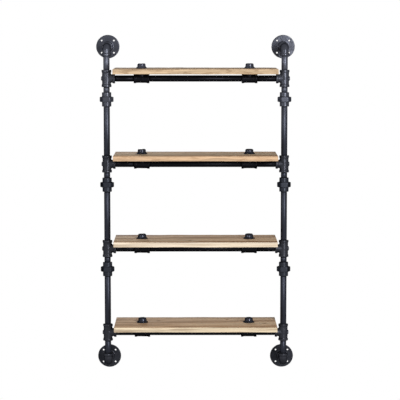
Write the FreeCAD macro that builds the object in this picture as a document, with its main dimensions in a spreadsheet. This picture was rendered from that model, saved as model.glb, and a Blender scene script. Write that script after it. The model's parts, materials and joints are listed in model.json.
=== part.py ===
"""A wall-mounted shelving unit of threaded pipe and four wooden shelf boards.

Two uprights of pipe stand off the wall on elbows and round flanges.  At each
level a crossbar runs between a tee on either upright, and two more tees on it
point up through the board, where caps clamp the board down.  Under each of the
three upper levels a union closes the upright, so that it can be put together.

Frame: the origin is on the wall, in the middle of the four flanges.  +X is to
the right, +Z is up and the room is on the -Y side.  All sizes are in mm.
"""
import FreeCAD, Part
import os
import re

import Sketcher

LEVELS = 4
FLANGE_SCREWS = 4
NUT_CORNERS = 6
SIDES = {"left": -1, "right": 1}
ENDS = {"top": 1, "foot": -1}
SAME_LENGTH = 1e-6

SIZES = {
    # Layout
    "upright_spacing": (600, "axis to axis of the two uprights"),
    "shelf_pitch": (289, "height from one crossbar to the next"),
    "top_pipe_show": (47.5, "pipe seen between top elbow and highest tee"),
    "foot_nipple_show": (44.5, "pipe seen between lowest tee and foot elbow"),
    "union_nipple_show": (17.7, "pipe seen between a tee and its union"),
    "wall_gap": (4, "wall to the back edges of the boards"),
    # Pipe
    "pipe_diameter": (21.3, "outside of the pipe"),
    "pipe_wall": (2.6, "wall of the pipe"),
    "thread_length": (13, "length of pipe screwed into a socket"),
    "thread_gap": (0.05, "pipe to socket, each side"),
    "socket_relief": (0.5, "socket past the end of the pipe in it"),
    # What tees and elbows share
    "casting_wall": (4.1, "body of a tee, outside the pipe"),
    "bead_step": (1.5, "bead round a mouth, outside the body"),
    "bead_width": (8, "bead, along the socket"),
    "bead_round": (1.2, "rounding of a bead's rims"),
    "neck_step": (1, "branch or elbow, inside the tee body's size"),
    "upright_tee_neck": (6, "neck between body and bead"),
    "shelf_tee_neck": (3.8, "neck between body and bead"),
    "crotch_fillet": (2.5, "fillet where a branch leaves the run"),
    "boss_diameter": (13.5, "cast boss on the back of an upright's tee"),
    "boss_height": (3.2, "boss, outside the tee's body"),
    "boss_round": (1.5, "rounding of the boss's rim"),
    "elbow_throat": (1.1, "bend's centre line past the neck's radius"),
    "elbow_neck": (6, "neck between bend and bead"),
    # Wall flanges
    "flange_diameter": (80, "plate"),
    "flange_thickness": (6, "plate"),
    "flange_round": (1.5, "rounding of the plate's rims"),
    "hub_wall": (6.35, "hub, outside the pipe"),
    "hub_height": (12, "hub, from the plate's front"),
    "hub_round": (2.5, "rounding at the root and mouth of the hub"),
    "screw_inset": (10.5, "plate's rim to a screw hole's centre"),
    "screw_hole": (6, "diameter of a screw hole"),
    # Unions
    "union_wall": (5.15, "hubs, outside the pipe"),
    "union_hub": (15, "hub above the nut"),
    "union_tail": (15.4, "hub below the nut"),
    "union_thread_step": (1.8, "male thread, outside the hub"),
    "union_thread": (11, "male thread, along the union"),
    "union_round": (1.2, "rounding of the hubs' mouths"),
    "collar_thickness": (3.4, "collar that the nut draws up"),
    "nut_wall": (2.8, "nut's wall at the middle of a flat"),
    "nut_lip": (3, "nut's lip under the collar"),
    "nut_play": (0.2, "nut's free play, up and down"),
    "nut_gap": (0.08, "nut to what it turns on, each side"),
    "nut_chamfer": (1.6, "how far the corners' chamfers reach down the nut"),
    # Shelf boards
    "board_depth": (200, "from the wall to the room"),
    "board_thickness": (18, "top to bottom"),
    "board_end_gap": (7.8, "board's end to the beads of the upright's tee"),
    "board_round": (2, "rounding of the board's edges"),
    "board_gap": (0.2, "tee's bead to the board above it"),
    "stud_offset": (182, "middle of the board to a shelf tee"),
    "stud_gap": (0.9, "nipple to its hole in the board, each side"),
    "recess_gap": (1, "tee's mouth to its recess in the board"),
    # Caps
    "cap_wall": (3.6, "crown, outside the nipple"),
    "cap_rim_step": (3.7, "rim, outside the crown"),
    "cap_rim_edge": (1.8, "upright edge of the rim"),
    "cap_rim_height": (4.5, "rim, up to the crown"),
    "cap_thread": (11, "length of nipple screwed into a cap"),
    "cap_top": (5, "metal over the nipple"),
    "cap_round": (2.5, "rounding of the crown"),
}

# What several pieces share, worked out from the sizes.
PIPE_RADIUS = "pipe_diameter / 2"
WATERWAY = "(pipe_diameter / 2 - pipe_wall)"
SOCKET_RADIUS = "(pipe_diameter / 2 + thread_gap)"
SOCKET_DEPTH = "(thread_length + socket_relief)"
BODY_RADIUS = "(pipe_diameter / 2 + casting_wall)"
BEAD_RADIUS = f"({BODY_RADIUS} + bead_step)"
NECK_RADIUS = f"({BODY_RADIUS} - neck_step)"
UPRIGHT_TEE = f"({BODY_RADIUS} + upright_tee_neck + bead_width)"
SHELF_TEE = f"({BODY_RADIUS} + shelf_tee_neck + bead_width)"
BEND_RADIUS = f"({NECK_RADIUS} + elbow_throat)"
ELBOW = f"({BEND_RADIUS} + elbow_neck + bead_width)"
FLANGE_HEIGHT = "(flange_thickness + hub_height)"
UNION_RADIUS = "(pipe_diameter / 2 + union_wall)"
UNION_THREAD_RADIUS = f"({UNION_RADIUS} + union_thread_step)"
UNION_SEAT = "(union_hub + union_thread)"
NUT_TOP = "(union_hub + nut_play)"
NUT_FOOT = f"({UNION_SEAT} + collar_thickness + nut_play + nut_lip)"
NUT_HEIGHT = f"({NUT_FOOT} - {NUT_TOP})"
NUT_FLAT_RADIUS = f"({UNION_THREAD_RADIUS} + nut_gap + nut_wall)"
UNION_HEIGHT = f"({NUT_FOOT} + union_tail)"
UNION_DROP = f"({UPRIGHT_TEE} + union_nipple_show)"
BOARD_SEAT = f"({BEAD_RADIUS} + board_gap)"
BOARD_TOP = f"({BOARD_SEAT} + board_thickness)"
HALF_BOARD = f"(upright_spacing / 2 - {BEAD_RADIUS} - board_end_gap)"
CAP_RADIUS = "(pipe_diameter / 2 + cap_wall)"
STANDOFF = "(board_depth / 2 + wall_gap)"
TOP_REACH = f"({ELBOW} + top_pipe_show + {UPRIGHT_TEE})"
FOOT_REACH = f"({ELBOW} + foot_nipple_show + {UPRIGHT_TEE})"
HALF_HEIGHT = f"(({TOP_REACH} + {LEVELS - 1} * shelf_pitch + {FOOT_REACH}) / 2)"

doc = FreeCAD.newDocument("PipeShelving")
sheet = doc.addObject("Spreadsheet::Sheet", "Sizes")
for row, (alias, (size, meaning)) in enumerate(SIZES.items(), start=1):
    sheet.set(f"A{row}", alias)
    sheet.set(f"B{row}", str(size))
    sheet.set(f"C{row}", meaning)
    sheet.setAlias(f"B{row}", alias)
doc.recompute()

pieces = []


# How sizes reach the pieces

def value(formula):
    """The number that a formula of sizes gives."""
    return float(sheet.evalExpression(formula))


def bind(feature, setting, formula):
    """Tie a setting of a feature to a formula of sizes."""
    cells = {alias: f"Sizes.{alias}" for alias in SIZES}
    words = re.sub(r"[a-z]\w*", lambda word: cells.get(word[0], word[0]), formula)
    feature.setExpression(setting, words)


def upright(side):
    """How far to the right an upright's axis is."""
    return f"({SIDES[side]} * upright_spacing / 2)"


def crossbar(level):
    """Height of a level's crossbar.  Level 1 is the highest."""
    return f"({HALF_HEIGHT} - {TOP_REACH} - {level - 1} * shelf_pitch)"


def elbow_height(end):
    """Height of the elbows and flanges at the top or the foot."""
    return f"({ENDS[end]} * {HALF_HEIGHT})"


# How a piece is started and drawn

def new_piece(label, x="0", y=f"-{STANDOFF}", z="0", half_turn=None):
    """A body with its name, its place and, where asked, a half turn about an axis."""
    body = doc.addObject("PartDesign::Body", label)
    body.Label = label
    if half_turn:
        turn = FreeCAD.Rotation(FreeCAD.Vector(*half_turn), 180)
        body.Placement = FreeCAD.Placement(FreeCAD.Vector(), turn)
    bind(body, "Placement.Base.x", x)
    bind(body, "Placement.Base.y", y)
    bind(body, "Placement.Base.z", z)
    pieces.append(body)
    return body


def own(body, role):
    """One of the body's own planes or axes."""
    return next(item for item in body.Origin.OriginFeatures if item.Role == role)


def new_sketch(body, name, role, offset="0"):
    """A sketch on one of the body's own planes, or beside it."""
    sketch = body.newObject("Sketcher::SketchObject", name)
    sketch.AttachmentSupport = [(own(body, role), "")]
    sketch.MapMode = "FlatFace"
    bind(sketch, "AttachmentOffset.Base.z", offset)
    return sketch


def fix_point(sketch, geometry, point, across, along):
    """Tie a point of a sketch to two formulas, counted from the sketch's origin."""
    for direction, formula in (("DistanceX", across), ("DistanceY", along)):
        distance = Sketcher.Constraint(direction, -1, 1, geometry, point, value(formula))
        number = sketch.addConstraint(distance)
        bind(sketch, f"Constraints[{number}]", formula)


def add_line(sketch, start, end, construction=False):
    """A line between two points, each given by two formulas."""
    points = [FreeCAD.Vector(value(across), value(along), 0) for across, along in (start, end)]
    line = sketch.addGeometry(Part.LineSegment(*points), construction)
    fix_point(sketch, line, 1, *start)
    return line


def add_outline(sketch, corners):
    """A closed outline of straight lines."""
    lines = []
    for index, corner in enumerate(corners):
        lines.append(add_line(sketch, corner, corners[(index + 1) % len(corners)]))
    for index, line in enumerate(lines):
        after = lines[(index + 1) % len(lines)]
        sketch.addConstraint(Sketcher.Constraint("Coincident", line, 2, after, 1))


def add_circle(sketch, radius, across="0", along="0"):
    """A circle of a radius about a centre, all given by formulas."""
    centre = FreeCAD.Vector(value(across), value(along), 0)
    shape = Part.Circle(centre, FreeCAD.Vector(0, 0, 1), value(radius))
    circle = sketch.addGeometry(shape, False)
    number = sketch.addConstraint(Sketcher.Constraint("Radius", circle, value(radius)))
    bind(sketch, f"Constraints[{number}]", radius)
    fix_point(sketch, circle, 3, across, along)


# Features that pieces are made of

def finish_feature(body, feature):
    """Make a feature the body's last one and compute it."""
    body.Tip = feature
    doc.recompute()
    return feature


def turned(body, name, corners, role="XZ_Plane", axis="V_Axis", cut=False):
    """A round solid, or a round cut, turned from an outline about an axis."""
    sketch = new_sketch(body, f"{name}_outline", role)
    add_outline(sketch, corners)
    kind = "PartDesign::Groove" if cut else "PartDesign::Revolution"
    feature = body.newObject(kind, name)
    feature.Profile = sketch
    feature.ReferenceAxis = (sketch, [axis])
    feature.Angle = 360
    return finish_feature(body, feature)


def sideways(corners):
    """The same outline with its length laid along the sketch's first axis."""
    return [(along, across) for across, along in corners]


def bored(body, name, steps, role="XZ_Plane", axis="V_Axis"):
    """A stepped bore.  Each step is its radius and the two ends of its stretch."""
    corners = [("0", steps[0][1])]
    for radius, start, end in steps:
        corners += [(radius, start), (radius, end)]
    corners.append(("0", steps[-1][2]))
    if axis == "H_Axis":
        corners = sideways(corners)
    return turned(body, name, corners, role, axis, cut=True)


def filleted(body, name, size, chosen):
    """Round the edges of the body that a test picks."""
    base = body.Tip
    edges = []
    for number, edge in enumerate(base.Shape.Edges, start=1):
        if chosen(edge):
            edges.append(f"Edge{number}")
    fillet = body.newObject("PartDesign::Fillet", name)
    fillet.Base = (base, edges)
    bind(fillet, "Radius", size)
    return finish_feature(body, fillet)


def rim_of(radius):
    """A test for circular edges of one radius."""
    size = value(radius)

    def chosen(edge):
        return isinstance(edge.Curve, Part.Circle) and abs(edge.Curve.Radius - size) < SAME_LENGTH

    return chosen


def rim_at(radius, height):
    """A test for the circular edge of one radius at one height."""
    has_radius = rim_of(radius)
    level = value(height)

    def chosen(edge):
        return has_radius(edge) and abs(edge.Curve.Center.z - level) < SAME_LENGTH

    return chosen


def freeform(edge):
    """A test for the edges where one round body leaves another."""
    return not isinstance(edge.Curve, (Part.Circle, Part.Line))


def padded(body, name, sketch, length, reverse=False):
    """A solid of one section."""
    pad = body.newObject("PartDesign::Pad", name)
    pad.Profile = sketch
    bind(pad, "Length", length)
    pad.Reversed = reverse
    return finish_feature(body, pad)


def pocketed(body, name, sketch, depth, reverse=False):
    """A cut of one section."""
    pocket = body.newObject("PartDesign::Pocket", name)
    pocket.Profile = sketch
    bind(pocket, "Length", depth)
    pocket.Reversed = reverse
    return finish_feature(body, pocket)


def repeated(body, name, axis, span, count):
    """Like pieces in one node, set evenly along an axis over a span."""
    pattern = body.newObject("PartDesign::LinearPattern", name)
    pattern.TransformMode = "Whole shape"
    pattern.Direction = (own(body, axis), [""])
    bind(pattern, "Length", span)
    pattern.Occurrences = count
    return finish_feature(body, pattern)


# Pipe

def pipe(label, role, length, **place):
    """A length of pipe that starts at its place and runs along +X, +Y or +Z."""
    body = new_piece(label, **place)
    section = new_sketch(body, "section", role)
    add_circle(section, PIPE_RADIUS)
    add_circle(section, WATERWAY)
    padded(body, "tube", section, length, reverse=role == "XZ_Plane")
    return body


def standing_pipe(label, low, high, x):
    """A length of pipe in an upright, between two heights."""
    return pipe(label, "XY_Plane", f"{high} - {low}", x=x, z=low)


# Tees and elbows

def run_outline(half):
    """Half the section of a tee's run: a body with a bead at each mouth."""
    return [
        ("0", f"-{half}"),
        (BEAD_RADIUS, f"-{half}"),
        (BEAD_RADIUS, f"bead_width - {half}"),
        (BODY_RADIUS, f"bead_width - {half}"),
        (BODY_RADIUS, f"{half} - bead_width"),
        (BEAD_RADIUS, f"{half} - bead_width"),
        (BEAD_RADIUS, half),
        ("0", half),
    ]


def leg_outline(start, half):
    """Half the section of a leg: a neck with a bead at its mouth."""
    return [
        ("0", start),
        (NECK_RADIUS, start),
        (NECK_RADIUS, f"{half} - bead_width"),
        (BEAD_RADIUS, f"{half} - bead_width"),
        (BEAD_RADIUS, half),
        ("0", half),
    ]


def run_bore(half):
    """The bore of a run, with a socket at each mouth."""
    return [
        (SOCKET_RADIUS, f"-{half}", f"{SOCKET_DEPTH} - {half}"),
        (WATERWAY, f"{SOCKET_DEPTH} - {half}", f"{half} - {SOCKET_DEPTH}"),
        (SOCKET_RADIUS, f"{half} - {SOCKET_DEPTH}", half),
    ]


def leg_bore(start, half):
    """The bore of a leg, with a socket at its mouth."""
    return [
        (WATERWAY, start, f"{half} - {SOCKET_DEPTH}"),
        (SOCKET_RADIUS, f"{half} - {SOCKET_DEPTH}", half),
    ]


def upright_tee(side, level):
    """A tee whose run stands in an upright and whose branch points inwards."""
    half_turn = (0, 0, 1) if side == "right" else None
    body = new_piece(
        f"upright_tee_{side}_{level}", x=upright(side), z=crossbar(level), half_turn=half_turn
    )
    turned(body, "run", run_outline(UPRIGHT_TEE))
    turned(body, "branch", sideways(leg_outline("0", UPRIGHT_TEE)), axis="H_Axis")
    filleted(body, "crotch", "crotch_fillet", freeform)
    back = f"-({BODY_RADIUS} + boss_height)"
    rim = "boss_diameter / 2"
    turned(body, "boss", [("0", "0"), (back, "0"), (back, rim), ("0", rim)], axis="H_Axis")
    filleted(body, "boss_rim", "boss_round", rim_of(rim))
    filleted(body, "bead_rims", "bead_round", rim_of(BEAD_RADIUS))
    bored(body, "run_bore", run_bore(UPRIGHT_TEE))
    bored(body, "branch_bore", leg_bore("0", UPRIGHT_TEE), axis="H_Axis")


def shelf_tees(level):
    """The two tees of a crossbar that carry the board, with their branches up."""
    body = new_piece(f"shelf_tees_{level}", x="-stud_offset", z=crossbar(level))
    turned(body, "run", sideways(run_outline(SHELF_TEE)), axis="H_Axis")
    turned(body, "branch", leg_outline("0", SHELF_TEE))
    filleted(body, "crotch", "crotch_fillet", freeform)
    filleted(body, "bead_rims", "bead_round", rim_of(BEAD_RADIUS))
    bored(body, "run_bore", run_bore(SHELF_TEE), axis="H_Axis")
    bored(body, "branch_bore", leg_bore("0", SHELF_TEE))
    repeated(body, "pair", "X_Axis", "2 * stud_offset", 2)


def quarter_bend(body, name, kind, radius):
    """A round section carried through a quarter turn, from a lower leg to the wall leg."""
    sketch = new_sketch(body, f"{name}_section", "XY_Plane", f"-{BEND_RADIUS}")
    add_circle(sketch, radius)
    axle = add_line(sketch, ("0", BEND_RADIUS), (BEND_RADIUS, BEND_RADIUS), construction=True)
    fix_point(sketch, axle, 2, BEND_RADIUS, BEND_RADIUS)
    feature = body.newObject(kind, name)
    feature.Profile = sketch
    feature.ReferenceAxis = (sketch, ["Axis0"])
    feature.Angle = 90
    feature.Reversed = True
    return finish_feature(body, feature)


def elbow(side, end):
    """An elbow that turns the end of an upright back to the wall."""
    half_turn = (0, 1, 0) if end == "foot" else None
    body = new_piece(
        f"elbow_{end}_{side}", x=upright(side), z=elbow_height(end), half_turn=half_turn
    )
    down = [(across, f"-({along})") for across, along in leg_outline(BEND_RADIUS, ELBOW)]
    down_bore = [
        (SOCKET_RADIUS, f"-{ELBOW}", f"{SOCKET_DEPTH} - {ELBOW}"),
        (WATERWAY, f"{SOCKET_DEPTH} - {ELBOW}", f"-{BEND_RADIUS}"),
    ]
    back = sideways(leg_outline(BEND_RADIUS, ELBOW))
    quarter_bend(body, "bend", "PartDesign::Revolution", NECK_RADIUS)
    turned(body, "pipe_leg", down)
    turned(body, "wall_leg", back, role="YZ_Plane", axis="H_Axis")
    filleted(body, "bead_rims", "bead_round", rim_of(BEAD_RADIUS))
    quarter_bend(body, "bend_bore", "PartDesign::Groove", WATERWAY)
    bored(body, "pipe_bore", down_bore)
    bored(body, "wall_bore", leg_bore(BEND_RADIUS, ELBOW), role="YZ_Plane", axis="H_Axis")


# Wall flanges

def wall_flange(side, end):
    """A round flange with a hub for the nipple and holes for the wall screws."""
    body = new_piece(
        f"wall_flange_{end}_{side}", x=upright(side), y="0", z=elbow_height(end)
    )
    rim = "flange_diameter / 2"
    hub = "(pipe_diameter / 2 + hub_wall)"
    section = [
        ("0", "0"),
        (rim, "0"),
        (rim, "-flange_thickness"),
        (hub, "-flange_thickness"),
        (hub, f"-{FLANGE_HEIGHT}"),
        ("0", f"-{FLANGE_HEIGHT}"),
    ]
    turned(body, "plate_and_hub", section, role="XY_Plane")
    filleted(body, "plate_rims", "flange_round", rim_of(rim))
    filleted(body, "hub_rims", "hub_round", rim_of(hub))
    bored(body, "socket", [(SOCKET_RADIUS, f"-{FLANGE_HEIGHT}", "0")], role="XY_Plane")
    holes = new_sketch(body, "screw_sketch", "XZ_Plane")
    for number in range(FLANGE_SCREWS):
        angle = 360 / FLANGE_SCREWS * (number + 0.5)
        across = f"({rim} - screw_inset) * cos({angle} deg)"
        along = f"({rim} - screw_inset) * sin({angle} deg)"
        add_circle(holes, "screw_hole / 2", across, along)
    pocketed(body, "screw_holes", holes, "flange_thickness", reverse=True)


# Unions

def union_halves(side):
    """The fixed halves of an upright's three unions, one node for each kind."""
    place = {"x": upright(side), "z": f"{crossbar(LEVELS - 1)} - {UNION_DROP}"}
    heads = new_piece(f"union_heads_{side}", **place)
    head_outline = [
        ("0", f"-{UNION_SEAT}"),
        (UNION_THREAD_RADIUS, f"-{UNION_SEAT}"),
        (UNION_THREAD_RADIUS, "-union_hub"),
        (UNION_RADIUS, "-union_hub"),
        (UNION_RADIUS, "0"),
        ("0", "0"),
    ]
    head_bore = [
        (WATERWAY, f"-{UNION_SEAT}", f"-{SOCKET_DEPTH}"),
        (SOCKET_RADIUS, f"-{SOCKET_DEPTH}", "0"),
    ]
    tails = new_piece(f"union_tails_{side}", **place)
    collar_foot = f"-({UNION_SEAT} + collar_thickness)"
    tail_outline = [
        ("0", f"-{UNION_HEIGHT}"),
        (UNION_RADIUS, f"-{UNION_HEIGHT}"),
        (UNION_RADIUS, collar_foot),
        (UNION_THREAD_RADIUS, collar_foot),
        (UNION_THREAD_RADIUS, f"-{UNION_SEAT}"),
        ("0", f"-{UNION_SEAT}"),
    ]
    tail_bore = [
        (SOCKET_RADIUS, f"-{UNION_HEIGHT}", f"{SOCKET_DEPTH} - {UNION_HEIGHT}"),
        (WATERWAY, f"{SOCKET_DEPTH} - {UNION_HEIGHT}", f"-{UNION_SEAT}"),
    ]
    for body, section, bore, mouth in (
        (heads, head_outline, head_bore, "0"),
        (tails, tail_outline, tail_bore, f"-{UNION_HEIGHT}"),
    ):
        turned(body, "hub_and_step", section)
        filleted(body, "mouth_rim", "union_round", rim_at(UNION_RADIUS, mouth))
        bored(body, "bore", bore)
        repeated(body, "three_levels", "Z_Axis", f"{LEVELS - 2} * shelf_pitch", LEVELS - 1)


def union_nut(side, level):
    """The nut that draws a union's halves together and turns freely once loosened."""
    foot = f"{crossbar(level)} - {UNION_DROP} - {NUT_FOOT}"
    body = new_piece(f"union_nut_{side}_{level}", x=upright(side), z=foot)
    corner = f"({NUT_FLAT_RADIUS} / cos({180 / NUT_CORNERS} deg))"
    hexagon = []
    for number in range(NUT_CORNERS):
        angle = 360 / NUT_CORNERS * number
        hexagon.append((f"{corner} * cos({angle} deg)", f"{corner} * sin({angle} deg)"))
    section = new_sketch(body, "hexagon", "XY_Plane")
    add_outline(section, hexagon)
    padded(body, "hexagon_prism", section, NUT_HEIGHT)
    upper = [
        (NUT_FLAT_RADIUS, NUT_HEIGHT),
        (corner, NUT_HEIGHT),
        (corner, f"{NUT_HEIGHT} - nut_chamfer"),
    ]
    lower = [(NUT_FLAT_RADIUS, "0"), (corner, "nut_chamfer"), (corner, "0")]
    turned(body, "upper_chamfer", upper, cut=True)
    turned(body, "lower_chamfer", lower, cut=True)
    bore = [
        (f"({UNION_RADIUS} + nut_gap)", "0", "nut_lip"),
        (f"({UNION_THREAD_RADIUS} + nut_gap)", "nut_lip", NUT_HEIGHT),
    ]
    bored(body, "bore", bore)


# Shelves

def crossbar_pipes(level):
    """A crossbar's middle pipe, and the two short ones that reach the uprights."""
    place = {"z": crossbar(level)}
    middle_end = f"(stud_offset - {SHELF_TEE} + thread_length)"
    inner = f"(stud_offset + {SHELF_TEE} - thread_length)"
    outer = f"(upright_spacing / 2 - {UPRIGHT_TEE} + thread_length)"
    pipe(f"crossbar_middle_{level}", "YZ_Plane", f"2 * {middle_end}", x=f"-{middle_end}", **place)
    ends = pipe(f"crossbar_ends_{level}", "YZ_Plane", f"{outer} - {inner}", x=f"-{outer}", **place)
    repeated(ends, "pair", "X_Axis", f"{outer} + {inner}", 2)


def shelf_board(level):
    """A board with two holes for the nipples, each recessed for its tee."""
    body = new_piece(f"shelf_board_{level}", z=f"{crossbar(level)} + {BOARD_SEAT}")
    front, back = "-board_depth / 2", "board_depth / 2"
    left, right = f"-{HALF_BOARD}", HALF_BOARD
    section = new_sketch(body, "rectangle", "XY_Plane")
    add_outline(section, [(left, front), (right, front), (right, back), (left, back)])
    padded(body, "board", section, "board_thickness")
    filleted(body, "edges", "board_round", lambda edge: True)
    for name, radius, depth in (
        ("recesses", f"{BEAD_RADIUS} + recess_gap", f"{SHELF_TEE} - {BOARD_SEAT} + recess_gap"),
        ("stud_holes", f"{PIPE_RADIUS} + stud_gap", "board_thickness"),
    ):
        sketch = new_sketch(body, f"{name}_sketch", "XY_Plane")
        for direction in SIDES.values():
            add_circle(sketch, radius, across=f"{direction} * stud_offset")
        pocketed(body, name, sketch, depth, reverse=True)


def on_every_stud(body):
    """Copies of a piece at both tees of every crossbar, from the lowest one up."""
    repeated(body, "pair", "X_Axis", "2 * stud_offset", 2)
    repeated(body, "levels", "Z_Axis", f"{LEVELS - 1} * shelf_pitch", LEVELS)


def shelf_nipples():
    """The nipples that stand in the shelf tees and pass through the boards."""
    low = f"({SHELF_TEE} - thread_length)"
    height = f"{BOARD_TOP} + cap_thread - {low}"
    lowest = f"{crossbar(LEVELS)} + {low}"
    on_every_stud(pipe("shelf_nipples", "XY_Plane", height, x="-stud_offset", z=lowest))


def shelf_caps():
    """The caps that screw on to the nipples and clamp the boards to the tees."""
    lowest = f"{crossbar(LEVELS)} + {BOARD_TOP}"
    body = new_piece("shelf_caps", x="-stud_offset", z=lowest)
    rim = f"({CAP_RADIUS} + cap_rim_step)"
    bore = "(cap_thread + socket_relief)"
    top = f"({bore} + cap_top)"
    section = [
        ("0", "0"),
        (rim, "0"),
        (rim, "cap_rim_edge"),
        (CAP_RADIUS, "cap_rim_height"),
        (CAP_RADIUS, top),
        ("0", top),
    ]
    turned(body, "crown_and_rim", section)
    filleted(body, "crown_rims", "cap_round", rim_of(CAP_RADIUS))
    bored(body, "socket", [(SOCKET_RADIUS, "0", bore)])
    on_every_stud(body)


# The wall fixings, from the wall outwards
for end_name in ENDS:
    for side_name in SIDES:
        wall_flange(side_name, end_name)
        elbow(side_name, end_name)
        pipe(
            f"wall_nipple_{end_name}_{side_name}",
            "XZ_Plane",
            f"{STANDOFF} - {ELBOW} - {FLANGE_HEIGHT} + 2 * thread_length",
            x=upright(side_name),
            y=f"{ELBOW} - thread_length - {STANDOFF}",
            z=elbow_height(end_name),
        )

# The uprights, from the top down
for side_name in SIDES:
    axis_x = upright(side_name)
    below_elbow = f"({HALF_HEIGHT} - {ELBOW} + thread_length)"
    above_tee = f"({crossbar(1)} + {UPRIGHT_TEE} - thread_length)"
    standing_pipe(f"top_pipe_{side_name}", above_tee, below_elbow, axis_x)
    for level_number in range(1, LEVELS + 1):
        upright_tee(side_name, level_number)
    for level_number in range(1, LEVELS):
        union_nut(side_name, level_number)
        union_foot = f"({crossbar(level_number)} - {UNION_DROP} - {UNION_HEIGHT})"
        next_tee = f"({crossbar(level_number + 1)} + {UPRIGHT_TEE})"
        standing_pipe(
            f"riser_pipe_{side_name}_{level_number}",
            f"({next_tee} - thread_length)",
            f"({union_foot} + thread_length)",
            axis_x,
        )
    union_halves(side_name)
    lowest_union = f"({crossbar(LEVELS - 1)} - {UNION_DROP} - thread_length)"
    lowest_mouth = f"({crossbar(LEVELS - 1)} - {UPRIGHT_TEE} + thread_length)"
    nipples = standing_pipe(f"union_nipples_{side_name}", lowest_union, lowest_mouth, axis_x)
    repeated(nipples, "three_levels", "Z_Axis", f"{LEVELS - 2} * shelf_pitch", LEVELS - 1)

foot_socket = f"({ELBOW} - {HALF_HEIGHT} - thread_length)"
foot_mouth = f"({crossbar(LEVELS)} - {UPRIGHT_TEE} + thread_length)"
foot_nipples = standing_pipe("foot_nipples", foot_socket, foot_mouth, upright("left"))
repeated(foot_nipples, "pair", "X_Axis", "upright_spacing", 2)

# The shelves
for level_number in range(1, LEVELS + 1):
    crossbar_pipes(level_number)
    shelf_tees(level_number)
    shelf_board(level_number)
shelf_nipples()
shelf_caps()

# Nothing is written until every feature and every piece is sound.
doc.recompute()
unsound = [item.Label for item in doc.Objects if {"Invalid", "Error"} & set(item.State)]
unsound += [piece.Label for piece in pieces if piece.Shape.isNull() or not piece.Shape.isValid()]
if unsound:
    raise RuntimeError("These did not build: " + ", ".join(unsound))

os.makedirs("parts", exist_ok=True)
for piece in pieces:
    piece.Shape.exportStep(os.path.join("parts", f"{piece.Label}.step"))
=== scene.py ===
import json
import math

import bpy
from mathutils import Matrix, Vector
from mathutils.geometry import intersect_point_line

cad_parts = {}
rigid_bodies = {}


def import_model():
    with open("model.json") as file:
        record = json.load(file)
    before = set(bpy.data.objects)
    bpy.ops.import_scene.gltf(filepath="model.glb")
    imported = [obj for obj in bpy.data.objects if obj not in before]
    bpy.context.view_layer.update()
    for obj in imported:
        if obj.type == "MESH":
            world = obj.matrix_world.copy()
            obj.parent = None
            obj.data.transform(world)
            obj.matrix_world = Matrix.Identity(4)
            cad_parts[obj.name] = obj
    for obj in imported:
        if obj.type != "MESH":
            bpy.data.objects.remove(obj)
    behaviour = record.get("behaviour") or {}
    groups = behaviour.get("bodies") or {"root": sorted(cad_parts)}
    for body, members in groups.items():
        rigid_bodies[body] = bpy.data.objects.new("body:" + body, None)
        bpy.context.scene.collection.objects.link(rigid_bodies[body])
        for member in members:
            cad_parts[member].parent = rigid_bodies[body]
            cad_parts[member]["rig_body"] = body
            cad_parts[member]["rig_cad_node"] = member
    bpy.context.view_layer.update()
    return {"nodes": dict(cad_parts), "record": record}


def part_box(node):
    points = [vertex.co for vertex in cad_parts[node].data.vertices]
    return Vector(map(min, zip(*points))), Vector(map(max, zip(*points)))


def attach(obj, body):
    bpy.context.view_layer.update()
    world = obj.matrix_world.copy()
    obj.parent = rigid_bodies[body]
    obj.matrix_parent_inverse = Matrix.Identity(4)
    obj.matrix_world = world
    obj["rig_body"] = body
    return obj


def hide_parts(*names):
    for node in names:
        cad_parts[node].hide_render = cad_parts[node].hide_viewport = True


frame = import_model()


# The room.  The shelving hangs 0.6 m over a pale floor that turns white
# towards its rim, in white air, and a camera with a long lens looks slightly
# down on it from the front.
LENS = 150.07  # mm
CAMERA_PLACE = Vector((-0.0082, -5.735, 0.6317))
CAMERA_AIM = Vector((0.0155, 0.0, 0.0086))
AMBIENT = 0.1  # how strongly the white air lights the shelving
FLOOR_HEIGHT = -1.2
FLOOR_SIZE = 3.6
FLOOR_TONE = (0.86, 0.86, 0.86)
FLOOR_ROUGHNESS = 0.9
WHITE_FROM = 0.25 * FLOOR_SIZE  # distances from its middle between which the floor turns white
WHITE_TO = 0.48 * FLOOR_SIZE


def towards(place, aim):
    """The rotation that points a camera or a lamp from its place to an aim."""
    return (Vector(aim) - Vector(place)).to_track_quat("-Z", "Y").to_euler()


bpy.ops.object.camera_add(location=CAMERA_PLACE)
camera = bpy.context.object
camera.rotation_euler = towards(CAMERA_PLACE, CAMERA_AIM)
camera.data.lens = LENS
bpy.context.scene.camera = camera
bpy.context.scene.view_settings.view_transform = "Standard"


def feed(node, inputs):
    """Feeds a shader node's inputs.

    Each takes a value, another node's output, or another node, which stands
    for its first output.
    """
    for socket, source in inputs.items():
        if isinstance(source, bpy.types.Node):
            source = source.outputs[0]
        if isinstance(source, bpy.types.NodeSocket):
            node.id_data.links.new(source, node.inputs[socket])
        else:
            node.inputs[socket].default_value = source


def shader_node(tree, kind, inputs=None, **options):
    """A new shader node with its options set and its inputs fed."""
    node = tree.nodes.new(f"ShaderNode{kind}")
    for option, choice in options.items():
        setattr(node, option, choice)
    feed(node, inputs or {})
    return node


def ramp(tree, value, start, end, low=0.0, high=1.0, easing="LINEAR"):
    """Low up to where a value is start, high from where it is end, and between them a slope."""
    inputs = {"Value": value, "From Min": start, "From Max": end, "To Min": low, "To Max": high}
    return shader_node(tree, "MapRange", inputs, interpolation_type=easing)


def opaque(colour):
    """A colour as the sockets of a shader take it."""
    return (*colour, 1.0)


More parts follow.
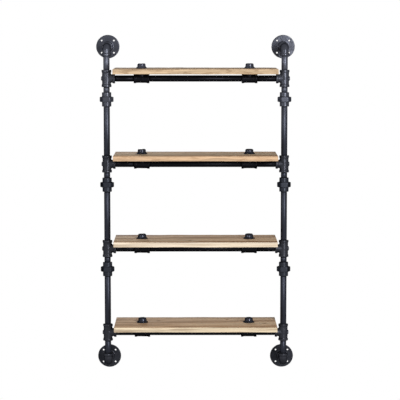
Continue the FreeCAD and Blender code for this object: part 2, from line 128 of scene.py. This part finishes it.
def seen_directly(tree):
    """1 for rays from the camera and for mirror and glass rays, otherwise 0."""
    rays = shader_node(tree, "LightPath").outputs
    seen_or_mirrored = {0: rays["Is Camera Ray"], 1: rays["Is Glossy Ray"]}
    either = shader_node(tree, "Math", seen_or_mirrored, operation="MAXIMUM")
    return shader_node(tree, "Math", {0: either, 1: rays["Is Transmission Ray"]}, operation="MAXIMUM")


def new_material(name):
    """A new material that is made of shader nodes."""
    material = bpy.data.materials.new(name)
    material.use_nodes = True
    return material


air = bpy.data.worlds.new("white air")
bpy.context.scene.world = air
air.use_nodes = True
tree = air.node_tree
glow = ramp(tree, seen_directly(tree), 0.0, 1.0, low=AMBIENT, high=1.0)
feed(tree.nodes["Background"], {"Color": opaque((1.0, 1.0, 1.0)), "Strength": glow})

bpy.ops.mesh.primitive_plane_add(size=FLOOR_SIZE, location=(0.0, 0.0, FLOOR_HEIGHT))
floor = bpy.context.object
floor.name = "floor"
floor_paint = new_material("pale floor")
tree = floor_paint.node_tree
matt = tree.nodes["Principled BSDF"]
feed(matt, {"Base Color": opaque(FLOOR_TONE), "Roughness": FLOOR_ROUGHNESS})
place = shader_node(tree, "TexCoord").outputs["Object"]
reach = shader_node(tree, "VectorMath", {0: place}, operation="LENGTH").outputs["Value"]
fade = ramp(tree, reach, WHITE_FROM, WHITE_TO, easing="SMOOTHSTEP")
shown = shader_node(tree, "Math", {0: fade, 1: seen_directly(tree)}, operation="MULTIPLY")
surface = shader_node(tree, "MixShader", {"Fac": shown, 1: matt, 2: shader_node(tree, "Emission")})
feed(tree.nodes["Material Output"], {"Surface": surface})
floor.data.materials.append(floor_paint)


def softbox(name, place, aim, width, height, watts):
    """A soft lamp at a place, turned to a point."""
    bpy.ops.object.light_add(type="AREA", location=place)
    lamp = bpy.context.object
    lamp.name = name
    lamp.rotation_euler = towards(place, aim)
    lamp.data.shape = "RECTANGLE"
    lamp.data.size, lamp.data.size_y = width, height
    lamp.data.energy = watts


softbox("key strip", place=(1.5, -4.2, 0.95), aim=(0.0, -0.1, 0.1), width=0.35, height=2.8, watts=205.0)
softbox("left box", place=(-1.6, -2.2, 0.7), aim=(-0.3, -0.1, 0.3), width=0.4, height=0.4, watts=12.0)
softbox("back box", place=(-1.2, 5.4, 0.9), aim=(0.0, 0.0, 0.0), width=1.8, height=1.8, watts=90.0)


# The wall flanges.  Round floor flanges of sand-cast iron, 80 mm across, with
# a hub for the nipple and four screw holes.  The mould leaves soft edges and
# a slightly wavy skin under the charcoal powder coat.
SOFTENING = 0.001  # size of the voxels that round a casting's edges
SKIN_WAVE = 0.012  # length of the waves in a casting's skin
SKIN_DEPTH = 0.0005
FLAKES = 0.6  # share of the coat that mirrors like metal
RIM_MIRROR = 0.15  # how much of that is left where the coat is seen edge on
# Painted light: between these heights the coat is painted paler, for the stronger light on the shelving's
# upper parts.
LIGHT_PAINTED_FROM, LIGHT_PAINTED_TO = 0.16, 0.56  # heights between which the coat gets paler
PATCHES = 62.0  # dark patches per metre
PATCH_FROM, PATCH_TO = 0.32, 0.7  # noise at which a patch is darkest, and at which it ends
GLOSS_SWING = 1.0 / 6  # how far roughness swings either way, as a share of the patches' darkness
NOISE_LOW, NOISE_HIGH = 0.3, 0.7  # nearly all of a noise lies between these
SKIN_RELIEF = 0.8
SIDES = ("left", "right")


def blended(tree, share, under, over, way="MIX"):
    """A colour with another one laid over it, as far as share says."""
    inputs = {"Factor": share, 6: under, 7: over}  # 6, 7 and 2 are a mix's sockets for colours
    return shader_node(tree, "Mix", inputs, data_type="RGBA", blend_type=way).outputs[2]


def powder_coat(name, foot_tone, lit_top_tone, roughness, skin, grain, patch=0.7):
    """A charcoal coat with metal flakes, painted paler towards the top of the shelving as painted light.

    Skin and grain are the depth and the width of its pimples.  Patch is the
    tone of its darkest patches, as a share of the plain tone.
    """
    paint = new_material(name)
    tree = paint.node_tree
    where = shader_node(tree, "TexCoord").outputs["Object"]
    height = shader_node(tree, "SeparateXYZ", {0: where}).outputs["Z"]
    # Painted light: the tone rises with the height from the foot tone to the paler, lit top tone.
    painted_light = ramp(tree, height, LIGHT_PAINTED_FROM, LIGHT_PAINTED_TO, easing="SMOOTHSTEP")
    tone = blended(tree, painted_light, opaque(foot_tone), opaque(lit_top_tone))
    cloudy = {"Scale": PATCHES, "Detail": 5.0, "Roughness": 0.6}
    mottle = shader_node(tree, "TexNoise", {"Vector": where, **cloudy})
    shades = shader_node(tree, "ValToRGB", {"Fac": mottle})
    darkest, plain = shades.color_ramp.elements
    darkest.position, darkest.color = PATCH_FROM, opaque((patch, patch, patch))
    plain.position, plain.color = PATCH_TO, opaque((1.0, 1.0, 1.0))
    swing = (1.0 - patch) * GLOSS_SWING
    pimples = shader_node(tree, "TexNoise", {"Vector": where, "Scale": 1.0 / grain, "Detail": 3.0})
    feed(tree.nodes["Principled BSDF"], {
        "Base Color": blended(tree, 1.0, tone, shades, "MULTIPLY"),
        "Metallic": FLAKES,
        "Roughness": ramp(tree, mottle, NOISE_LOW, NOISE_HIGH, roughness + swing, roughness - swing),
        "Specular IOR Level": 0.0,
        "Specular Tint": opaque((RIM_MIRROR, RIM_MIRROR, RIM_MIRROR)),
        "Normal": shader_node(tree, "Bump", {"Height": pimples, "Distance": skin, "Strength": SKIN_RELIEF}),
    })
    return paint


def only(*pieces):
    """Selects these pieces alone and makes the first one active."""
    bpy.ops.object.select_all(action="DESELECT")
    for piece in pieces:
        piece.select_set(True)
    bpy.context.view_layer.objects.active = pieces[0]


nodes = frame["nodes"]


def copy_of(name):
    """A copy of a node's solid, with its loose triangles merged."""
    piece = nodes[name].copy()
    piece.data = nodes[name].data.copy()
    piece.parent = None
    for node_mark in ("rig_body", "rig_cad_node"):  # a copy of a node isn't one itself
        if node_mark in piece:
            del piece[node_mark]
    piece.hide_viewport = piece.hide_render = False
    bpy.context.scene.collection.objects.link(piece)
    only(piece)
    bpy.ops.object.mode_set(mode="EDIT")
    bpy.ops.mesh.select_all(action="SELECT")
    bpy.ops.mesh.remove_doubles(threshold=1e-6)
    bpy.ops.object.mode_set(mode="OBJECT")
    return piece


def modified(piece, kind, **options):
    """Adds a modifier to a piece, sets it up and applies it."""
    only(piece)
    modifier = piece.modifiers.new(kind.lower(), kind)
    for option, choice in options.items():
        setattr(modifier, option, choice)
    bpy.ops.object.modifier_apply(modifier=modifier.name)


def soft_edged(name):
    """A node's solid with its edges rounded, as on forged or cast metal."""
    piece = copy_of(name)
    modified(piece, "REMESH", mode="VOXEL", voxel_size=SOFTENING)
    modified(piece, "SMOOTH", factor=0.5, iterations=2)
    bpy.ops.object.shade_smooth()
    return piece


skin_wave = bpy.data.textures.new("casting skin", "CLOUDS")
skin_wave.noise_scale = SKIN_WAVE


def sand_cast(name):
    """A node's solid with the rounded edges and the wavy skin that a sand mould leaves."""
    piece = soft_edged(name)
    modified(piece, "DISPLACE", texture=skin_wave, strength=SKIN_DEPTH)
    return piece


body_of = {}
for body, members in frame["record"]["behaviour"]["bodies"].items():
    for member in members:
        body_of[member] = body
slot_of = {entry["node"]: entry["material_slot"] for entry in frame["record"]["subparts"]}


def stand_in(piece, name, ending, coat):
    """Dresses a piece and puts it in a node's place, on the node's body."""
    piece.name = f"{name}_{ending}"
    piece.data.materials.clear()
    piece.data.materials.append(coat)
    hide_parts(name)
    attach(piece, body_of[name])


def moved_copy(piece, step):
    """A copy of a piece, a step away, with a mesh of its own."""
    only(piece)
    bpy.ops.object.duplicate()
    bpy.ops.transform.translate(value=step)
    bpy.ops.object.transform_apply()
    return bpy.context.object


def stand_in_each(first, names, ending, coat):
    """Stands a piece in for the first node and copies of it for the like ones."""
    first_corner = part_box(names[0])[0]
    copies = [moved_copy(first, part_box(name)[0] - first_corner) for name in names[1:]]
    for piece, name in zip([first, *copies], names):
        stand_in(piece, name, ending, coat)


flange_coat = powder_coat(
    "flange powder coat",
    foot_tone=(0.031, 0.033, 0.041),
    lit_top_tone=(0.064, 0.068, 0.085),
    roughness=0.3,
    skin=0.00016,
    grain=0.0016,
    patch=0.6,
)
flanges = [f"wall_flange_{end}_{side}" for end in ("top", "foot") for side in SIDES]
stand_in_each(sand_cast(flanges[0]), flanges, "cast", flange_coat)


# The elbows.  Malleable iron, cast in two half moulds, which leave a faint
# seam round the bend, and tapped at both mouths for the pipe.
SEAM = 0.00035
RIGHT = Vector((1.0, 0.0, 0.0))
BACK = Vector((0.0, 1.0, 0.0))
UP = Vector((0.0, 0.0, 1.0))


def middle_of(name):
    """The middle of a node's box."""
    low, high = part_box(name)
    return (low + high) / 2


def faces_out(vertex, middle, ways):
    """Whether a vertex faces away from the nearest axis, and so isn't in a bore."""
    arms = []
    for way in ways:
        foot, share = intersect_point_line(vertex.co, middle, middle + way)
        arms.append(vertex.co - (foot if share > 0.0 else middle))
    return min(arms, key=lambda arm: arm.length).dot(vertex.normal) > 0.0


def mould_seam(piece, middle, across, ways):
    """Raises the seam of a casting on the plane through its axes.

    The casting's middle lies on the plane, across is the plane's normal, and
    each way leads from the middle along the axis of one mouth.
    """
    only(piece)
    bpy.ops.object.mode_set(mode="EDIT")
    bpy.ops.mesh.select_all(action="SELECT")
    bpy.ops.mesh.bisect(plane_co=middle, plane_no=across)
    bpy.ops.object.mode_set(mode="OBJECT")
    for vertex in piece.data.vertices:
        if vertex.select:
            vertex.select = faces_out(vertex, middle, ways)
    bpy.ops.object.mode_set(mode="EDIT")
    bpy.ops.transform.shrink_fatten(value=SEAM)
    bpy.ops.object.mode_set(mode="OBJECT")
    bpy.ops.object.shade_smooth()


left_upright = middle_of("top_pipe_left")  # on the axis of the left upright
cast_coat = powder_coat(
    "cast powder coat",
    foot_tone=(0.038, 0.04, 0.049),
    lit_top_tone=(0.062, 0.066, 0.082),
    roughness=0.3,
    skin=0.00016,
    grain=0.0016,
)
for end, inwards in (("top", -1.0), ("foot", 1.0)):
    elbows = [f"elbow_{end}_{side}" for side in SIDES]
    elbow = sand_cast(elbows[0])
    bend = Vector((left_upright.x, left_upright.y, middle_of(f"wall_nipple_{end}_left").z))
    mould_seam(elbow, bend, across=RIGHT, ways=(BACK, inwards * UP))
    stand_in_each(elbow, elbows, "cast", cast_coat)


# The tees.  Malleable iron like the elbows.  Those of the uprights point
# inwards and have a small boss on the back; those of the shelves point up.
LEVELS = (1, 2, 3, 4)  # from the highest shelf down

for side, inwards in zip(SIDES, (1.0, -1.0)):
    tees = [f"upright_tee_{side}_{level}" for level in LEVELS]
    tee = sand_cast(tees[0])
    middle = Vector((inwards * left_upright.x, left_upright.y, middle_of(tees[0]).z))
    mould_seam(tee, middle, across=BACK, ways=(inwards * RIGHT, UP, -UP))
    stand_in_each(tee, tees, "cast", cast_coat)

# Painted shade: the crossbars and the shelf tees under the boards get a nearly black copy of the coat, for
# the boards' shadow on them.
shaded_shelf_coat = powder_coat(
    "shelf powder coat",
    foot_tone=(0.009, 0.0092, 0.0115),
    lit_top_tone=(0.011, 0.011, 0.014),
    roughness=0.34,
    skin=0.00012,
    grain=0.0014,
)
shelf_tees = [f"shelf_tees_{level}" for level in LEVELS]
stand_in_each(sand_cast(shelf_tees[0]), shelf_tees, "cast", shaded_shelf_coat)


# The unions.  A head and a tail of turned iron meet face to face inside a
# hexagonal nut, which draws them together.  The nut is free to turn.
union_coat = powder_coat(
    "union powder coat",
    foot_tone=(0.03, 0.033, 0.042),
    lit_top_tone=(0.09, 0.095, 0.116),
    roughness=0.32,
    skin=0.0001,
    grain=0.0014,
)
for part in ("union_heads", "union_tails"):
    halves = [f"{part}_{side}" for side in SIDES]
    stand_in_each(soft_edged(halves[0]), halves, "turned", union_coat)

nuts = [f"union_nut_{side}_{level}" for side in SIDES for level in LEVELS[:-1]]  # none under the last
stand_in_each(soft_edged(nuts[0]), nuts, "forged", union_coat)


# The pipes.  Half-inch steel tube, cut to length, threaded at both ends and
# powder coated.  The last turn of a thread stays in sight at the mouth of a
# fitting.
THREAD_PITCH = 0.00181
THREAD_LENGTH = 0.0163
THREAD_DEPTH = 0.0007
MOST_THREADED = 0.45  # share of a shelf nipple that the thread of one end may take
PIPE_WALL = 0.0026
PIPE_CREASE = math.radians(40)  # edges sharper than this are shaded as edges
AROUND_PIPE = 40


def lathe(rings, around, hollow=True):
    """A piece turned about Z; rings are (radius, height), in order.

    A hollow piece's last ring meets the first; otherwise both are capped.
    """
    bpy.ops.object.select_all(action="DESELECT")
    radius, height = rings[0]
    bpy.ops.mesh.primitive_circle_add(vertices=around, radius=radius, location=(0.0, 0.0, height))
    piece = bpy.context.object
    bpy.ops.object.transform_apply()
    bpy.ops.object.mode_set(mode="EDIT")
    bpy.ops.mesh.select_all(action="SELECT")
    for next_radius, next_height in [*rings[1:], *rings[: int(hollow)]]:
        rise = (0.0, 0.0, next_height - height)
        bpy.ops.mesh.extrude_edges_move(TRANSFORM_OT_translate={"value": rise})
        growth = next_radius / radius
        bpy.ops.transform.resize(value=(growth, growth, 1.0))
        radius, height = next_radius, next_height
    bpy.ops.mesh.select_all(action="SELECT")
    bpy.ops.mesh.remove_doubles(threshold=1e-7)
    bpy.ops.mesh.fill_holes(sides=around)
    bpy.ops.mesh.normals_make_consistent(inside=False)
    bpy.ops.object.mode_set(mode="OBJECT")
    return piece


def solids_of(name):
    """The lowest and highest corner of each separate solid in a node."""
    copy_of(name)
    bpy.ops.mesh.separate(type="LOOSE")
    boxes = []
    for part in bpy.context.selected_objects:
        corners = [Vector(corner) for corner in part.bound_box]
        boxes.append((corners[0], corners[6]))  # of the eight, the lowest and the highest
    bpy.ops.object.delete()
    return boxes


def threaded_pipe(low, high):
    """A pipe that fills a box, threaded at both ends."""
    sides = high - low
    length = max(sides)
    radius = min(sides) / 2
    turns = int(min(THREAD_LENGTH, MOST_THREADED * length) / THREAD_PITCH)
    thread = [(radius - PIPE_WALL, 0.0)]
    for turn in range(turns):
        thread.append((radius - THREAD_DEPTH, turn * THREAD_PITCH))
        thread.append((radius, (turn + 0.5) * THREAD_PITCH))
    far_thread = [(ring, length - height) for ring, height in reversed(thread)]
    pipe = lathe(thread + far_thread, AROUND_PIPE)
    middle = (low + high) / 2
    if length == sides.z:
        pipe.location = (middle.x, middle.y, low.z)
    elif length == sides.x:
        pipe.rotation_euler = (0.0, math.radians(90), 0.0)
        pipe.location = (low.x, middle.y, middle.z)
    else:
        pipe.rotation_euler = (math.radians(-90), 0.0, 0.0)
        pipe.location = (middle.x, low.y, middle.z)
    bpy.ops.object.transform_apply()
    bpy.ops.object.shade_smooth_by_angle(angle=PIPE_CREASE)
    return pipe


def joined(parts):
    """One piece of several."""
    only(*parts)
    if len(parts) > 1:
        bpy.ops.object.join()
    return bpy.context.object


pipe_coat = powder_coat(
    "pipe powder coat",
    foot_tone=(0.0275, 0.03, 0.04),
    lit_top_tone=(0.084, 0.09, 0.113),
    roughness=0.34,
    skin=0.00002,
    grain=0.0012,
    patch=0.88,
)
for name in sorted(nodes):
    if slot_of[name] == "pipe":
        pipes = [threaded_pipe(low, high) for low, high in solids_of(name)]
        # The crossbars take the coat that is painted with shade.
        coat = shaded_shelf_coat if name.startswith("crossbar") else pipe_coat
        stand_in(joined(pipes), name, "threaded", coat)


# The boards.  Solid pine, sawn along the grain, planed and oiled, with eased
# edges that aren't quite straight.  Each has two holes for the nipples, which
# are wider underneath for the mouths of the tees.
EASE = 0.0016
NEAR_ARRIS = 1.1 * EASE  # how far from a board's edge its wave reaches
ARRIS_WAVE = 0.07  # length of the waves in the arrises
ARRIS_DEPTH = 0.0014
ARRIS_STEPS = 60
STUD_GAP = 0.0009  # between a nipple and its hole
RECESS_GAP = 0.001  # between a tee's mouth and its recess, all round and above
AROUND_HOLE = 48
BOARD_CREASE = math.radians(35)
BROAD_FACE = 0.8  # a broad face points up or down at least this much

OIL_GLOSS = 0.12
WOOD_ROUGHNESS = 0.8
TONE_STOPS = (0.41, 0.5, 0.6)  # noise at which the wood has its three tones
KNOTS = 5.5  # per metre
SCATTER = 0.8  # 0 sets the knots in rows
KNOT = 0.055  # a knot's radius, as a share of the knots' spacing
KNOT_CORE = 0.4  # share of that radius which is brown all over
KNOT_TONE = (0.5, 0.36, 0.26)
SWIRL = 0.28  # radius of the grain that bends round a knot, as a share of the knots' spacing
SWIRL_PULL = 0.8  # 0 leaves the grain straight, and 1 spreads it right round a knot
RINGS = 30.0  # makes year rings about 10 mm wide
RING_WAVER = 9.0
RING_STRETCH = (0.12, 1.0, 1.0)  # the rings change slowly along the trunk
EARLY_WOOD, LATE_WOOD = 1.06, 0.76  # brightness at the start and at the end of a year
FIBRES = (6.0, 300.0, 300.0)  # per metre along, across and up
DARK_FIBRE, PALE_FIBRE = 0.86, 1.08  # their brightness
FIBRE_DEPTH = 0.0004
FIBRE_RELIEF = 0.7
STAIN_TONE = (0.72, 0.60, 0.50)
STAIN_WIDTH = 0.012  # of the stain along a board's long edges, before it fades
STAIN_FADE = 0.025

board_low, board_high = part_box("shelf_board_1")
BOARD_MIDDLE = middle_of("shelf_board_1").y
STAIN_TO = (board_high.y - board_low.y) / 2 - STAIN_WIDTH
STAIN_FROM = STAIN_TO - STAIN_FADE


def knots_in(tree, where, start, broad):
    """The grain's own places, which swirl round knots, and how far each is in a knot."""
    shifted = shader_node(tree, "Mapping", {"Vector": where, "Location": (start, 0.0, 0.0)})
    scattered = {"Vector": shifted, "Scale": KNOTS, "Randomness": SCATTER}
    knots = shader_node(tree, "TexVoronoi", scattered, voronoi_dimensions="2D").outputs
    to_knot = shader_node(tree, "VectorMath", {0: knots["Position"], 1: shifted}, operation="SUBTRACT")
    pull = ramp(tree, knots["Distance"], 0.0, SWIRL, SWIRL_PULL * broad, 0.0, "SMOOTHERSTEP")
    level_pull = shader_node(tree, "CombineXYZ", {"X": pull, "Y": pull})
    pulled = {0: to_knot, 1: level_pull, 2: where}
    grain_place = shader_node(tree, "VectorMath", pulled, operation="MULTIPLY_ADD")
    return grain_place, ramp(tree, knots["Distance"], KNOT_CORE * KNOT, KNOT, broad, 0.0, "SMOOTHSTEP")


def streaks_in(tree, grain_place, start, streaks, tones):
    """Long streaks of three tones."""
    stretched = {"Vector": grain_place, "Location": (start, start, 0.0), "Scale": streaks}
    bands = {"Scale": 1.0, "Detail": 4.0, "Roughness": 0.6, "Distortion": 0.4}
    noise = shader_node(tree, "TexNoise", {"Vector": shader_node(tree, "Mapping", stretched), **bands})
    toned = shader_node(tree, "ValToRGB", {"Fac": noise})
    toned.color_ramp.interpolation = "B_SPLINE"
    stops = toned.color_ramp.elements
    stops.new(TONE_STOPS[1])
    for stop, position, tone in zip(stops, TONE_STOPS, tones):
        stop.position, stop.color = position, opaque(tone)
    return toned


def stain_in(tree, where, broad):
    """How strongly each place is stained, by how near it is to a long edge."""
    depth = shader_node(tree, "SeparateXYZ", {0: where}).outputs["Y"]
    off_middle = shader_node(tree, "Math", {0: depth, 1: BOARD_MIDDLE}, operation="SUBTRACT")
    outwards = shader_node(tree, "Math", {0: off_middle}, operation="ABSOLUTE")
    return ramp(tree, outwards, STAIN_FROM, STAIN_TO, 0.0, broad, "SMOOTHSTEP")


def year_rings_in(tree, grain_place, start, heart):
    """The brightness of the year rings round the trunk's heart."""
    from_heart = {"Location": (start, -BOARD_MIDDLE, -heart), "Scale": RING_STRETCH}
    trunk = shader_node(tree, "Mapping", {"Vector": grain_place, **from_heart})
    growth = {"Scale": RINGS, "Distortion": RING_WAVER, "Detail": 3.0, "Detail Scale": 0.5}
    sawtooth = {"wave_type": "RINGS", "rings_direction": "X", "wave_profile": "SAW"}
    years = shader_node(tree, "TexWave", {"Vector": trunk, **growth}, **sawtooth).outputs["Fac"]
    return ramp(tree, years, 0.0, 1.0, EARLY_WOOD, LATE_WOOD)


def pine(name, tones, start, streaks, heart, broad):
    """Oiled pine with year rings, fibres and streaks of three tones.

    Start is where along the trunk the board was cut, and streaks are the
    streaks per metre along, across and up.  Heart is the height of the middle
    of the trunk.  Broad is 1 on a board's broad faces, which show knots and
    are stained along their edges, and 0 on its narrow ones.
    """
    wood = new_material(name)
    tree = wood.node_tree
    where = shader_node(tree, "TexCoord").outputs["Object"]
    grain_place, in_knot = knots_in(tree, where, start, broad)
    streaked = streaks_in(tree, grain_place, start, streaks, tones)
    stained = blended(tree, stain_in(tree, where, broad), streaked, opaque(STAIN_TONE), "MULTIPLY")
    knotted = blended(tree, in_knot, stained, opaque(KNOT_TONE), "MULTIPLY")
    year = year_rings_in(tree, grain_place, start, heart)
    fine = shader_node(tree, "Mapping", {"Vector": where, "Scale": FIBRES})
    fibres = shader_node(tree, "TexNoise", {"Vector": fine, "Scale": 1.0, "Detail": 4.0, "Roughness": 0.7})
    fibre = ramp(tree, fibres, NOISE_LOW, NOISE_HIGH, DARK_FIBRE, PALE_FIBRE)
    brightness = shader_node(tree, "Math", {0: year, 1: fibre}, operation="MULTIPLY")
    relief = {"Height": fibres, "Distance": FIBRE_DEPTH, "Strength": FIBRE_RELIEF}
    feed(tree.nodes["Principled BSDF"], {
        "Base Color": shader_node(tree, "VectorMath", {0: knotted, "Scale": brightness}, operation="SCALE"),
        "Roughness": WOOD_ROUGHNESS,
        "Specular IOR Level": OIL_GLOSS,
        "Normal": shader_node(tree, "Bump", relief),
    })
    return wood


def stepped_drill(stud, recess, bottom, step):
    """What is drilled out for a stud: a recess from the bottom up to a step, then its hole."""
    low, high = stud
    hole = (high.x - low.x) / 2 + STUD_GAP
    section = ((recess, bottom), (recess, step), (hole, step), (hole, high.z))
    drill = lathe(section, AROUND_HOLE, hollow=False)
    middle = (low + high) / 2
    drill.location = (middle.x, middle.y, 0.0)
    bpy.ops.object.transform_apply()
    return drill


arris_wave = bpy.data.textures.new("arris", "CLOUDS")
arris_wave.noise_scale = ARRIS_WAVE
studs = solids_of("shelf_nipples")


def eased_board(low, high):
    """A board that fills a box, with eased arrises in short steps that a wave can move."""
    bpy.ops.object.select_all(action="DESELECT")
    bpy.ops.mesh.primitive_cube_add(size=1.0, location=(low + high) / 2, scale=high - low)
    board = bpy.context.object
    bpy.ops.object.transform_apply()
    bpy.ops.object.mode_set(mode="EDIT")
    bpy.ops.mesh.select_all(action="SELECT")
    bpy.ops.mesh.bevel(offset=EASE, segments=3, affect="EDGES")
    bpy.ops.mesh.select_mode(type="EDGE")
    bpy.ops.mesh.select_all(action="DESELECT")
    bpy.ops.object.mode_set(mode="OBJECT")
    for edge in board.data.edges:
        start, end = (board.data.vertices[corner].co for corner in edge.vertices)
        edge.select = abs(end.x - start.x) > (high.x - low.x) / 2
    bpy.ops.object.mode_set(mode="EDIT")
    bpy.ops.mesh.subdivide(number_cuts=ARRIS_STEPS)
    bpy.ops.mesh.select_mode(type="VERT")
    bpy.ops.object.mode_set(mode="OBJECT")
    return board


def plank(name, tees):
    """A board with slightly wavy arrises, drilled for its studs and their tees."""
    low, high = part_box(name)
    board = eased_board(low, high)
    arris = board.vertex_groups.new(name="arris")
    for vertex in board.data.vertices:
        from_side = min(vertex.co.y - low.y, high.y - vertex.co.y)
        from_face = min(vertex.co.z - low.z, high.z - vertex.co.z)
        if max(from_side, from_face) < NEAR_ARRIS:
            arris.add([vertex.index], 1.0, "REPLACE")
    waving = {"texture": arris_wave, "vertex_group": "arris", "mid_level": 1.0, "strength": ARRIS_DEPTH}
    modified(board, "DISPLACE", **waving)
    tees_low, tees_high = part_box(tees)
    recess = (tees_high.y - tees_low.y) / 2 + RECESS_GAP
    step = tees_high.z + RECESS_GAP
    through = [stud for stud in studs if stud[0].z < low.z < stud[1].z]
    drill = joined([stepped_drill(stud, recess, low.z - RECESS_GAP, step) for stud in through])
    modified(board, "BOOLEAN", operation="DIFFERENCE", solver="EXACT", object=drill)
    only(drill)
    bpy.ops.object.delete()
    only(board)
    bpy.ops.object.shade_smooth_by_angle(angle=BOARD_CREASE)
    return board


BELOW_BOARD = 0.05  # from the trunk's heart up to the board
PLANED_TONES = ((0.355, 0.205, 0.107), (1.0, 0.715, 0.46), (0.54, 0.41, 0.265))  # brown, pale, grey
LONG_STREAKS = (1.2, 17.0, 24.0)
SAWN_STREAKS = (5.0, 50.0, 100.0)
BLOTCHES = (28.0, 90.0, 130.0)
# The sawn edges' tones are partly the wood's own and partly painted shade: the edges of the two upper
# boards are painted darker than those below.
CUTS = {  # where along the trunk each board was cut; its sawn edges' dark and pale wood and figure
    1: (1.7, (0.40, 0.27, 0.16), (0.64, 0.47, 0.30), BLOTCHES),
    2: (3.4, (0.52, 0.335, 0.20), (0.66, 0.45, 0.28), BLOTCHES),
    3: (6.3, (0.68, 0.55, 0.40), (0.85, 0.72, 0.56), SAWN_STREAKS),
    4: (11.6, (0.49, 0.37, 0.25), (0.77, 0.64, 0.455), SAWN_STREAKS),
}
for level, (start, dark_edge, pale_edge, figure) in CUTS.items():
    name = f"shelf_board_{level}"
    board = plank(name, f"shelf_tees_{level}")
    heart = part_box(name)[0].z - BELOW_BOARD
    sawn_tones_with_painted_shade = (dark_edge, pale_edge, pale_edge)
    planed = pine(f"planed pine {level}", PLANED_TONES, start, LONG_STREAKS, heart, broad=1.0)
    sawn = pine(f"sawn pine {level}", sawn_tones_with_painted_shade, start, figure, heart, broad=0.0)
    stand_in(board, name, "planed", planed)
    board.data.materials.append(sawn)
    for face in board.data.polygons:
        face.material_index = 0 if abs(face.normal.z) > BROAD_FACE else 1


# The caps.  Cast iron, screwed on to the nipples over the boards, which they
# clamp to the tees: a low crown over a wide rim, like a bowler hat.
AROUND_CAP = 48
CAP_CREASE = math.radians(55)
CAP_SECTION = (  # radius and height over the board, the socket first
    (0.0040, 0.0115),
    (0.0107, 0.0115),
    (0.0107, 0.0000),
    (0.0189, 0.0000),
    (0.0193, 0.0006),
    (0.0193, 0.0014),
    (0.0187, 0.0022),
    (0.0164, 0.0034),
    (0.0148, 0.0050),
    (0.0140, 0.0070),
    (0.0138, 0.0120),
    (0.0133, 0.0138),
    (0.0120, 0.0154),
    (0.0098, 0.0163),
    (0.0060, 0.0165),
)

cap = lathe(CAP_SECTION, AROUND_CAP, hollow=False)
bpy.ops.object.shade_smooth_by_angle(angle=CAP_CREASE)
seats = [((low.x + high.x) / 2, (low.y + high.y) / 2, low.z) for low, high in solids_of("shelf_caps")]
caps = [moved_copy(cap, seat) for seat in seats]
only(cap)
bpy.ops.object.delete()
cap_coat = powder_coat(
    "cap powder coat",
    foot_tone=(0.03, 0.032, 0.042),
    lit_top_tone=(0.066, 0.07, 0.09),
    roughness=0.17,
    skin=0.0001,
    grain=0.0014,
)
stand_in(joined(caps), "shelf_caps", "cast", cap_coat)
